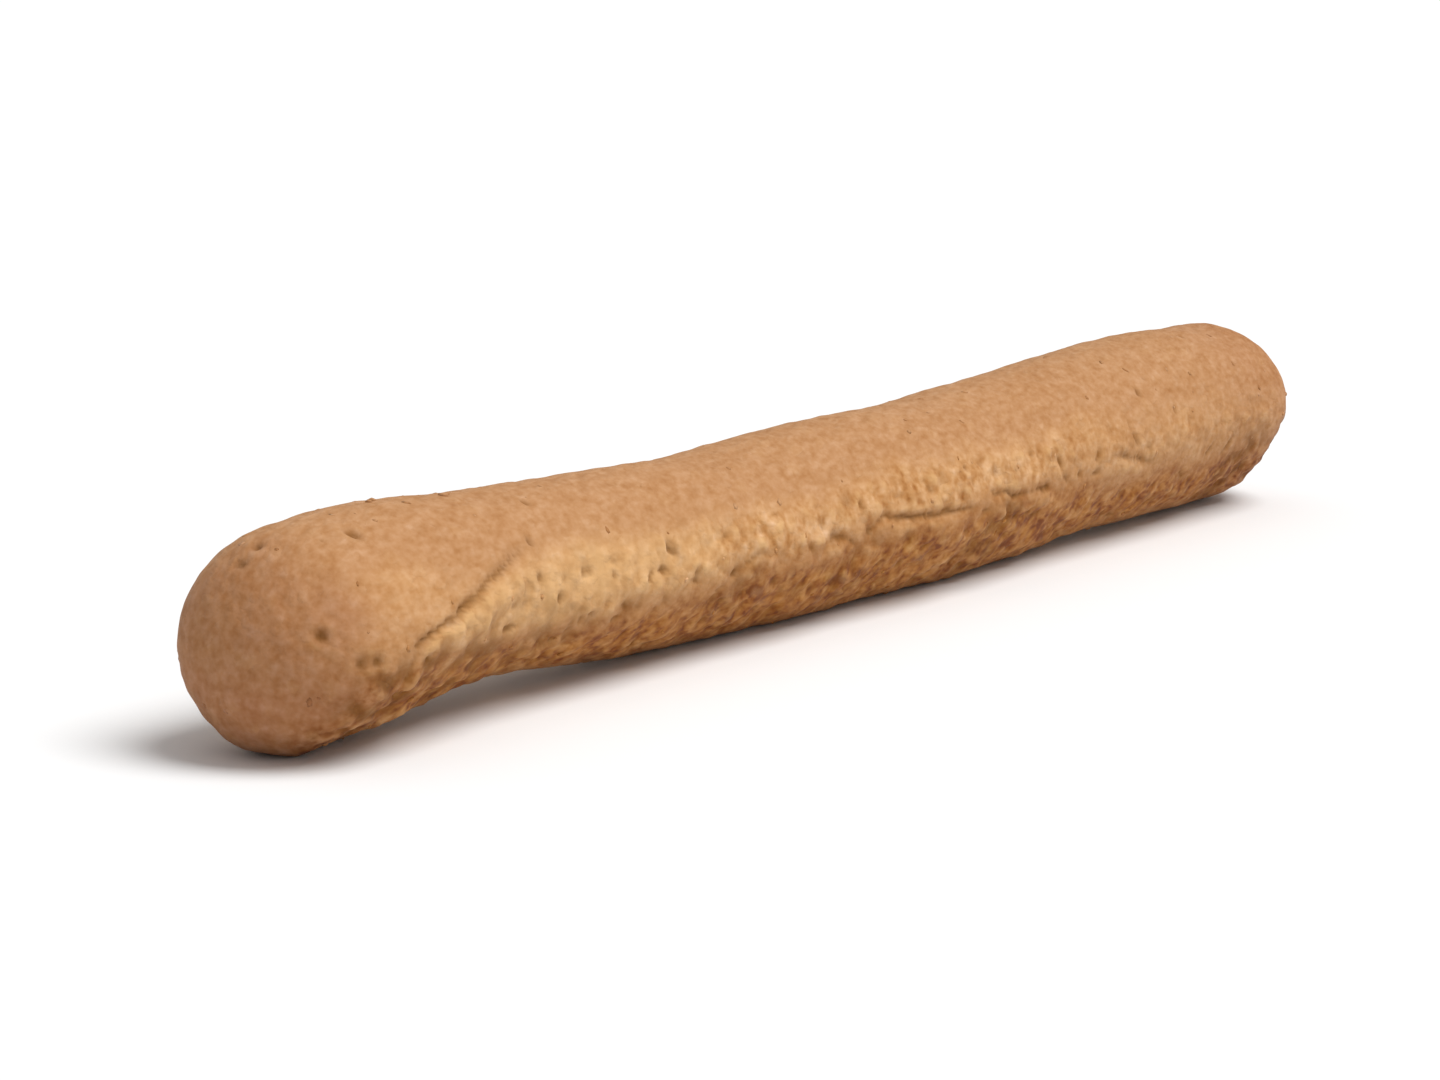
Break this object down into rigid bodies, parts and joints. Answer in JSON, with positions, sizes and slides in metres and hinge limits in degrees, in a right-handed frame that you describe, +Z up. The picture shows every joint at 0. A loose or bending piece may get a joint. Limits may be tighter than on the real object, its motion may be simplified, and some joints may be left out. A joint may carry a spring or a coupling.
{
  "type": "rusk stick",
  "caption": "Long round rusk stick, dry and hard, with domed ends, a thicker knob at one end, a slight bend and one side flattened by the baking tray.",
  "frame": {"origin": "under the middle of the bounding box, on the surface that the stick lies on", "axes": "+X along the stick from its knob to its even end, +Z up as it lies, -Y towards the side where the wrinkled tray side shows"},
  "size_m": [0.155, 0.0158, 0.0158],
  "materials": {
    "crust": "dry baked wholemeal crust, warm tan brown, matt with a faint sheen"
  },
  "bodies": {
    "root": {"rusk_stick": "crust"}
  },
  "joints": []
}
